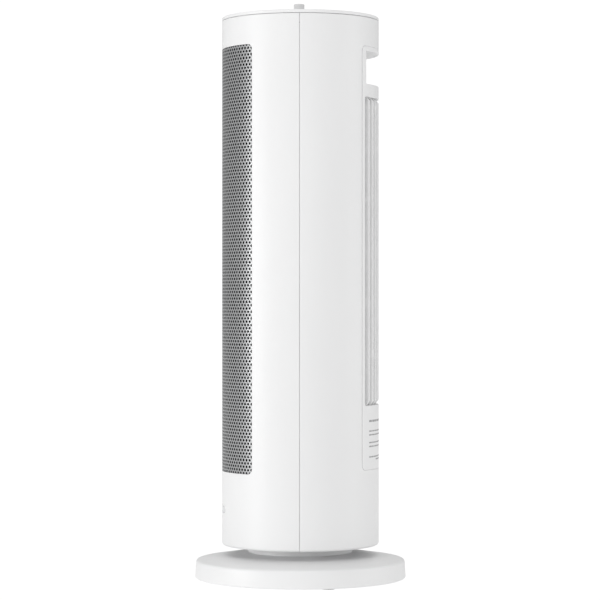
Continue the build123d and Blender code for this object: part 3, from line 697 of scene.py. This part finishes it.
parts = [
    sheet_mesh(
        (arc(L_HALF + 2.6), LZ0 - 3.0, LZ1 + 3.0, 0.5), [(arc(L_HALF), LZ0, LZ1, 0.5)],
        grid(-arc(L_HALF + 2.6), arc(L_HALF + 2.6), 2.6), grid(LZ0 - 3.0, LZ1 + 3.0, 16.0),
        wrap(REAR, R - WALL - 0.5), inner_wrap(REAR, 71.0), edge=0.2, support=0.4,
    )
]
b_in, b_out, mid_r = 70.0, R - 0.05, R - WALL - 0.6
for i in range(10):
    a = REAR + (i - 4.5) * 6.5
    side = [
        (b_in, LZ0 - 0.8), (mid_r - 0.6, LZ0 - 0.8), (mid_r, LZ0 + 0.3), (b_out, LZ0 + 4.6),
        (b_out, LZ1 - 3.6), (mid_r, LZ1 - 0.3), (mid_r - 0.6, LZ1 + 0.8), (b_in, LZ1 + 0.8),
    ]
    parts.append(bevelled_prism(side, 2.4, a, 0.42))
for k in range(1, 6):
    z = LZ0 + (LZ1 - LZ0) * k / 6
    parts.append(arc_box(REAR, L_HALF + 0.8, z - 1.0, z + 1.0, 70.6, 73.6, 36))
v, f = merge(parts)
make("intake_louvre_bars", v, f, "tower", WHITE, ("intake_louvre",), 40.0)

# ------------------------------------------------------- printed rating panel
# Plain dashes in place of the print: no letters.
rng = np.random.default_rng(7)
marks = []
for z, h, left, right in (
    (159.4, 2.0, 29.5, -16.0), (149.5, 1.3, 29.5, -27.0), (145.8, 1.3, 29.5, -24.0), (138.2, 1.3, 29.5, -26.0),
    (134.4, 1.3, 29.5, 4.0), (124.1, 1.3, 29.5, -25.0), (121.3, 1.3, 17.0, -8.0),
):
    x = left
    while x > right:
        w = float(rng.uniform(1.6, 4.4)) * (1.25 if h > 1.5 else 1.0)
        e = max(right, x - w)
        if x - e > 0.6:
            marks.append(arc_box(REAR - (x + e) / 2, (x - e) / 2, z - h / 2, z + h / 2, R - 0.2, R - 0.005, 4))
        x = e - float(rng.uniform(0.55, 0.8))
v, f = merge(marks)
make("rating_print_dashes", v, f, "tower", INK, (), 30.0)

# ------------------------------------------------------------ base and neck
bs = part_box("base_shell")
b_top, b_bot = bs[1].z * MM, bs[0].z * MM
outer_b = [
    (102.7, b_bot), (105.2, b_bot), (104.2, 19.5), (52.0, b_top), (16.0, b_top), (16.0, b_top - 2.5),
    (52.0, b_top - 2.5), (101.7, 17.35),
]
prof = rounded(outer_b, [0.3, 1.6, 2.6, 4.0, 0.3, 0.3, 2.0, 1.2], 8)
v, f = lathe(prof, 224)
base = make("base_shell_skin", v, f, "base", WHITE, (), 40.0)
cut_v, cut_f = lathe([(5.65, -8.0), (5.65, 8.0), (0.0, 8.0), (0.0, -8.0)], 48)
gland_z = (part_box("cord_gland")[0].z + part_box("cord_gland")[1].z) / 2 * MM
cutter_me = bpy.data.meshes.new("cutter")
cutter_me.from_pydata(
    [(x / MM, (103.0 + z) / MM, (gland_z + y) / MM) for x, y, z in cut_v], [], [tuple(q) for q in cut_f]
)
bmc = bmesh.new()
bmc.from_mesh(cutter_me)
bmesh.ops.remove_doubles(bmc, verts=bmc.verts, dist=1e-7)
bmesh.ops.recalc_face_normals(bmc, faces=bmc.faces)
bmc.to_mesh(cutter_me)
bmc.free()
cutter = bpy.data.objects.new("cutter", cutter_me)
scene.collection.objects.link(cutter)
mod = base.modifiers.new("cord_hole", "BOOLEAN")
mod.operation, mod.solver, mod.object = "DIFFERENCE", "EXACT", cutter
bpy.context.view_layer.update()
done = bpy.data.meshes.new_from_object(base.evaluated_get(bpy.context.evaluated_depsgraph_get()))
base.modifiers.clear()
base.data = done
for p in done.polygons:
    p.use_smooth = True
done.set_sharp_from_angle(angle=math.radians(40))
bpy.data.objects.remove(cutter)
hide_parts("base_shell")

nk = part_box("neck_ring")
nr, nz0, nz1 = nk[1].x * MM, nk[0].z * MM, nk[1].z * MM
v, f = lathe(rounded([(34.0, nz0), (nr, nz0), (nr, nz1), (34.0, nz1)], [0, 0, 0.9, 0.5], 5), 160)
make("neck_ring_skin", v, f, "base", WHITE, ("neck_ring",), 40.0)

# --------------------------------------------------------------------- knob
klo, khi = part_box("control_knob")
kr, ky = khi.x * MM, (klo.y + khi.y) / 2 * MM


def flute(r, z, a):
    if r < kr - 0.5 or z < KZ0 + 1.0 or z > TOP - 1.3:
        return r
    ease = min(1.0, (z - KZ0 - 1.0) / 0.5, (TOP - 1.3 - z) / 0.5)
    return r - 0.2 * ease * (0.5 + 0.5 * math.cos(36 * a)) ** 2


side_z = grid(KZ0 + 1.0, TOP - 1.3, 0.45)
prof = (
    [(3.0, KZ0), (kr - 0.3, KZ0), (kr - 0.09, KZ0 + 0.09), (kr, KZ0 + 0.3)]
    + [(kr, z) for z in side_z]
    + rounded([(kr, TOP - 1.2), (kr, TOP - 0.06), (3.9, TOP - 0.06)], [0, 0.85, 0], 6, closed=False)[1:]
    + [(2.0, TOP - 0.09), (0.0, TOP - 0.10), (0.0, 571.0), (3.0, 571.0)]
)
v, f = lathe(prof, 216, flute)
v = [(x, y + ky, z) for x, y, z in v]
make("control_knob_skin", v, f, "knob", KNOBM, ("control_knob",), 55.0)
v, f = bevelled_prism([(1.2, TOP - 0.5), (4.3, TOP - 0.5), (4.3, TOP - 0.01), (1.2, TOP - 0.01)], 0.8, -90.0, 0.1)
v = [(x, y + ky, z) for x, y, z in v]
make("knob_pointer_line", v, f, "knob", INK, (), 40.0)

# --------------------------------------------------------- floor and lights
floor_me = bpy.data.meshes.new("studio_floor")
F = 200.0
floor_me.from_pydata([(-F, -F, 0), (F, -F, 0), (F, F, 0), (-F, F, 0)], [], [(0, 1, 2, 3)])
floor = bpy.data.objects.new("studio_floor", floor_me)
scene.collection.objects.link(floor)
fm, fnt, fb = new_mat("studio_paper")
ftc = fnt.nodes.new("ShaderNodeTexCoord").outputs["Object"]
fnt.links.new(ramp(fnt, noise(fnt, ftc, 3.0, 3.0), 0.3, 0.7, (0.86, 0.86, 0.86), (0.88, 0.88, 0.88)), fb.inputs["Base Color"])
fb.inputs["Roughness"].default_value = 0.9
fb.inputs["Specular IOR Level"].default_value = 0.0
fb.inputs["Emission Color"].default_value = (1, 1, 1, 1)
fb.inputs["Emission Strength"].default_value = 0.24
fo = fnt.nodes["Material Output"]
fmix = fnt.nodes.new("ShaderNodeMixShader")
flp = fnt.nodes.new("ShaderNodeLightPath")
fwhite = fnt.nodes.new("ShaderNodeEmission")
fwhite.inputs["Color"].default_value = (1, 1, 1, 1)
fwhite.inputs["Strength"].default_value = 1.05
fnt.links.new(flp.outputs["Is Camera Ray"], fmix.inputs["Fac"])
fnt.links.new(fb.outputs[0], fmix.inputs[1])
fnt.links.new(fwhite.outputs[0], fmix.inputs[2])
fnt.links.new(fmix.outputs[0], fo.inputs["Surface"])
floor_me.materials.append(fm)

world = bpy.data.worlds.new("studio")
scene.world = world
world.use_nodes = True
wn = world.node_tree
for n in list(wn.nodes):
    wn.nodes.remove(n)
out = wn.nodes.new("ShaderNodeOutputWorld")
mix = wn.nodes.new("ShaderNodeMixShader")
lp = wn.nodes.new("ShaderNodeLightPath")
bg_light = wn.nodes.new("ShaderNodeBackground")
bg_cam = wn.nodes.new("ShaderNodeBackground")
bg_light.inputs["Color"].default_value = (1, 1, 1, 1)
bg_light.inputs["Strength"].default_value = 0.562
bg_cam.inputs["Color"].default_value = (1, 1, 1, 1)
bg_cam.inputs["Strength"].default_value = 1.05
wn.links.new(lp.outputs["Is Camera Ray"], mix.inputs["Fac"])
wn.links.new(bg_light.outputs[0], mix.inputs[1])
wn.links.new(bg_cam.outputs[0], mix.inputs[2])
wn.links.new(mix.outputs[0], out.inputs["Surface"])


def area_light(name, az, el, dist, size_x, size_y, power, target=(0, 0, 0.29)):
    d = bpy.data.lights.new(name, "AREA")
    d.shape = "RECTANGLE"
    d.size, d.size_y = size_x, size_y
    d.energy = power
    o = bpy.data.objects.new(name, d)
    scene.collection.objects.link(o)
    a, e = math.radians(az), math.radians(el)
    pos = Vector(target) + Vector((math.cos(e) * math.cos(a), math.cos(e) * math.sin(a), math.sin(e))) * dist
    o.location = pos
    o.rotation_euler = (Vector(target) - pos).to_track_quat("-Z", "Y").to_euler()
    return o


area_light("key_front_left", -66.0, -1.0, 3.4, 1.4, 1.1, 36.5)
area_light("strip_right", 84.0, 4.0, 3.2, 0.4, 2.0, 9.0)
area_light("top_soft", 0.0, 52.0, 8.0, 4.4, 4.4, 172.0)

cam_d = bpy.data.cameras.new("camera")
cam_d.sensor_width = 36.0
cam_d.lens = 140.28
cam_d.shift_x = -0.4 / 600.0
cam_d.clip_end = 600.0
cam = bpy.data.objects.new("camera", cam_d)
scene.collection.objects.link(cam)
cam.location = (2.338, 0.0245, 0.2785)
cam.rotation_euler = (math.radians(90.0), 0.0, math.radians(90.6))
scene.camera = cam
scene.view_settings.view_transform = "Standard"
scene.view_settings.look = "None"
scene.view_settings.exposure = 0.0
scene.view_settings.gamma = 1.0
